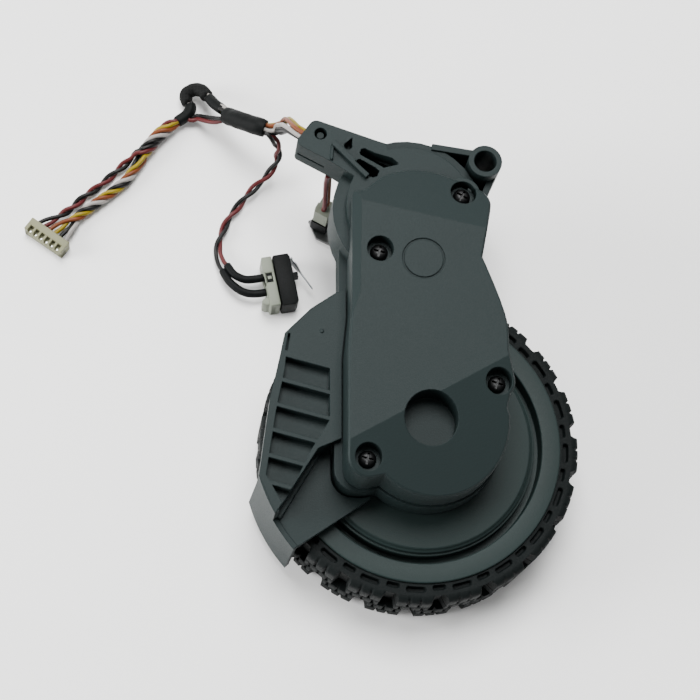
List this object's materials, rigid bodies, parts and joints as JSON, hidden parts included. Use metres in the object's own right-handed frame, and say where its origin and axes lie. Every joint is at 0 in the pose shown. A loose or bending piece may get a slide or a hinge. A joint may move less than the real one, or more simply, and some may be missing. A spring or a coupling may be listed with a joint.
{
  "type": "robot vacuum wheel module",
  "caption": "Drive module with a lugged wheel, a small geared motor in a moulded housing, a wheel-drop switch and a harness with a connector",
  "frame": {"origin": "on the wheel's axis, in the plane of its outer face, which lies on the floor", "axes": "+Z along the wheel's axis from the outer face to the gearbox cover, +Y from the wheel towards the motor, +X to the right in the picture"},
  "size_m": [0.124, 0.1258, 0.0405],
  "materials": {
    "housing_grey": "fine moulded ABS texture",
    "rim_grey": "moulded ABS, slightly smoother",
    "tyre_rubber": "matt moulded rubber",
    "black_steel": "black oxide",
    "zinc_steel": "zinc plated",
    "black_nylon": "moulded nylon",
    "brass": "stamped",
    "ferrite": "sintered, dull",
    "bronze": "sintered and oiled",
    "carbon": "pressed carbon",
    "board_green": "solder mask",
    "steel": "ground",
    "white_acetal": "moulded acetal",
    "laminations": "varnished stack",
    "copper": "turned copper",
    "white_nylon": "moulded nylon",
    "cream_nylon": "moulded nylon",
    "shrink_black": "heat-shrink sleeve",
    "tape_black": "cloth tape",
    "wire_red": "wire insulation",
    "wire_tan": "wire insulation",
    "wire_black": "wire insulation",
    "wire_yellow": "wire insulation"
  },
  "bodies": {
    "housing": {"drive_housing": "housing_grey", "gearbox_cover": "housing_grey", "wheel_guard": "housing_grey", "cover_screw_1": "black_steel", "cover_screw_2": "black_steel", "cover_screw_3": "black_steel", "cover_screw_4": "black_steel", "motor_can": "zinc_steel", "motor_end_cap": "black_nylon", "motor_terminal_1": "brass", "motor_terminal_2": "brass", "motor_magnet_1": "ferrite", "motor_magnet_2": "ferrite", "motor_bush_front": "bronze", "motor_bush_rear": "bronze", "motor_brush_1": "carbon", "motor_brush_2": "carbon", "encoder_board": "board_green", "gear_axle_1": "steel", "gear_axle_2": "steel", "gear_axle_3": "steel", "output_bush_lower": "bronze", "output_bush_upper": "bronze", "plug_header": "black_nylon", "motor_plug": "white_nylon", "motor_lead_red": "wire_red", "motor_lead_tan": "wire_tan", "lead_trunk": "wire_yellow", "sleeve_main": "shrink_black", "sleeve_narrow": "shrink_black", "tape_fold": "tape_black", "lead_fold": "wire_black", "lead_bypass": "wire_red", "lead_bundle": "wire_yellow", "lead_pair": "wire_red", "lead_quad": "wire_yellow", "switch_lead": "wire_red", "switch_sleeve_1": "shrink_black", "switch_sleeve_2": "shrink_black", "connector": "cream_nylon", "switch_holder": "white_nylon", "switch_body": "black_nylon", "switch_terminal_1": "brass", "switch_terminal_2": "brass"},
    "wheel": {"output_shaft": "steel", "output_gear": "white_acetal", "wheel_rim": "rim_grey", "tyre": "tyre_rubber", "wheel_cover": "rim_grey", "hub_screw": "steel"},
    "gear_3": {"compound_gear_3": "white_acetal"},
    "gear_2": {"compound_gear_2": "white_acetal"},
    "gear_1": {"compound_gear_1": "white_acetal"},
    "rotor": {"motor_shaft": "steel", "motor_pinion": "brass", "armature": "laminations", "commutator": "copper", "encoder_magnet": "ferrite"},
    "lever": {"switch_lever": "steel"},
    "plunger": {"switch_plunger": "white_nylon"}
  },
  "joints": [
    {"name": "wheel_spin", "type": "hinge", "parent": "housing", "child": "wheel", "pos_m": [0, 0, 0], "axis": [0, 0, 1], "continuous": true},
    {"name": "gear_3_spin", "type": "hinge", "parent": "housing", "child": "gear_3", "pos_m": [-0.00146, 0.01674, 0], "axis": [0, 0, 1], "continuous": true},
    {"name": "gear_2_spin", "type": "hinge", "parent": "housing", "child": "gear_2", "pos_m": [-0.00105, 0.02873, 0], "axis": [0, 0, 1], "continuous": true},
    {"name": "gear_1_spin", "type": "hinge", "parent": "housing", "child": "gear_1", "pos_m": [0.00069, 0.03858, 0], "axis": [0, 0, 1], "continuous": true},
    {"name": "rotor_spin", "type": "hinge", "parent": "housing", "child": "rotor", "pos_m": [-0.00436, 0.04807, 0], "axis": [0, 0, 1], "continuous": true},
    {"name": "lever_press", "type": "hinge", "parent": "housing", "child": "lever", "pos_m": [-0.02777, 0.04709, 0], "axis": [0, 0, 1], "range_deg": [-12, 0], "stiffness_Nm_per_rad": 0.03},
    {"name": "plunger_slide", "type": "slide", "parent": "housing", "child": "plunger", "axis": [0.9781, 0.2079, 0], "range_m": [-0.00085, 0]}
  ],
  "couplings": [
    {"joint": "gear_3_spin", "follows": "wheel_spin", "ratio": -2.2308},
    {"joint": "gear_2_spin", "follows": "wheel_spin", "ratio": 5.2051},
    {"joint": "gear_1_spin", "follows": "wheel_spin", "ratio": -12.145},
    {"joint": "rotor_spin", "follows": "wheel_spin", "ratio": 31.375},
    {"joint": "plunger_slide", "follows": "lever_press", "m_per_rad": 0.0038}
  ]
}
